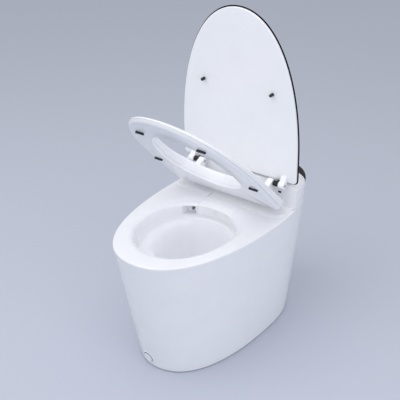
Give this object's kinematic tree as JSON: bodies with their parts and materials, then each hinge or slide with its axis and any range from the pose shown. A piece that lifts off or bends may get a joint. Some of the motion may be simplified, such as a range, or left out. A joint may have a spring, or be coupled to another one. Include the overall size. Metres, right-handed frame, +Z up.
{
  "type": "smart toilet",
  "caption": "One-piece smart toilet: skirted glazed pedestal, white rear unit with a black cover, raised lid and half-raised seat ring, spray wand, flush tank and pump inside.",
  "frame": {"origin": "on the floor, at the middle of the part's length and width", "axes": "+X to the right seen from the front, +Y to the rear, +Z up"},
  "size_m": [0.396, 0.6648, 0.9572],
  "materials": {
    "glazed_white": "gloss",
    "white_plastic": "gloss",
    "black_gloss": "gloss",
    "grey_plastic": "matte",
    "dark_plastic": "matte",
    "grey_rubber": "matte",
    "black_rubber": "matte",
    "stainless": "brushed",
    "brass_body": "satin",
    "zinc_steel": "satin",
    "board_green": "matte",
    "heater_wire": "matte"
  },
  "bodies": {
    "base": {"base_plate": "white_plastic", "button_bezel": "white_plastic", "button_spring": "stainless", "button_switch": "dark_plastic", "control_board": "board_green", "cord_gland": "dark_plastic", "deck_bolts": "stainless", "deodorizer": "grey_plastic", "drain_collar": "grey_plastic", "drain_seal": "grey_rubber", "dryer_duct": "grey_plastic", "dryer_housing": "grey_plastic", "dryer_motor": "zinc_steel", "fill_hose": "black_rubber", "floor_brackets": "zinc_steel", "floor_gasket": "grey_rubber", "flow_valve": "grey_plastic", "flush_tank": "grey_plastic", "front_pads": "grey_rubber", "heater_hose": "black_rubber", "hinge_blocks": "dark_plastic", "hinge_pins": "stainless", "inlet_valve": "brass_body", "jet_block": "grey_plastic", "jet_hose": "black_rubber", "lid_drive": "dark_plastic", "pedestal": "glazed_white", "power_supply": "dark_plastic", "pump_housing": "dark_plastic", "pump_motor": "zinc_steel", "rear_cover": "black_gloss", "rear_housing": "white_plastic", "seat_drive": "dark_plastic", "service_panel": "grey_plastic", "suction_hose": "black_rubber", "supply_hose": "black_rubber", "tank_cap": "grey_plastic", "trap_pipe": "grey_plastic", "wand_cover": "white_plastic", "wand_guide": "white_plastic", "wand_motor": "zinc_steel", "water_heater": "grey_plastic"},
    "lid": {"lid_bumpers": "grey_rubber", "lid_hinge_arms": "white_plastic", "lid_panel": "white_plastic", "lid_shell": "black_gloss"},
    "seat": {"seat_base": "white_plastic", "seat_bumpers": "grey_rubber", "seat_heater": "heater_wire", "seat_hinge_arms": "white_plastic", "seat_top": "white_plastic"},
    "wand": {"spray_wand": "stainless", "wand_tip": "white_plastic"},
    "roller": {"wand_roller": "dark_plastic"},
    "button": {"foot_button": "white_plastic"},
    "pump_wheel": {"pump_impeller": "dark_plastic"},
    "dryer_wheel": {"dryer_impeller": "dark_plastic"}
  },
  "joints": [
    {"name": "lid_hinge", "type": "hinge", "parent": "base", "child": "lid", "pos_m": [0, 0.1395, 0.474], "axis": [1, 0, 0], "range_deg": [-4, 93.9]},
    {"name": "seat_hinge", "type": "hinge", "parent": "base", "child": "seat", "pos_m": [0, 0.1395, 0.474], "axis": [1, 0, 0], "range_deg": [-1.9, 44.4]},
    {"name": "wand_slide", "type": "slide", "parent": "base", "child": "wand", "axis": [0, -0.9925, -0.1219], "range_m": [0, 0.08]},
    {"name": "wand_roller_spin", "type": "hinge", "parent": "base", "child": "roller", "pos_m": [0, 0.08255, 0.36492], "axis": [1, 0, 0], "range_deg": [0, 920]},
    {"name": "foot_button_press", "type": "slide", "parent": "base", "child": "button", "axis": [0.0854, 0.9741, 0.2093], "range_m": [0, 0.003], "stiffness_N_per_m": 1500, "springref_m": -0.002, "deforming": ["button_spring"]},
    {"name": "pump_spin", "type": "hinge", "parent": "base", "child": "pump_wheel", "pos_m": [-0.082, 0.229, 0.046], "axis": [0, 1, 0], "continuous": true},
    {"name": "dryer_spin", "type": "hinge", "parent": "base", "child": "dryer_wheel", "pos_m": [0.075, 0.232, 0.4096], "axis": [0, 0, 1], "continuous": true}
  ],
  "couplings": [
    {"joint": "seat_hinge", "follows": "lid_hinge", "ratio": 0.4723},
    {"joint": "wand_roller_spin", "follows": "wand_slide", "rad_per_m": 200}
  ]
}
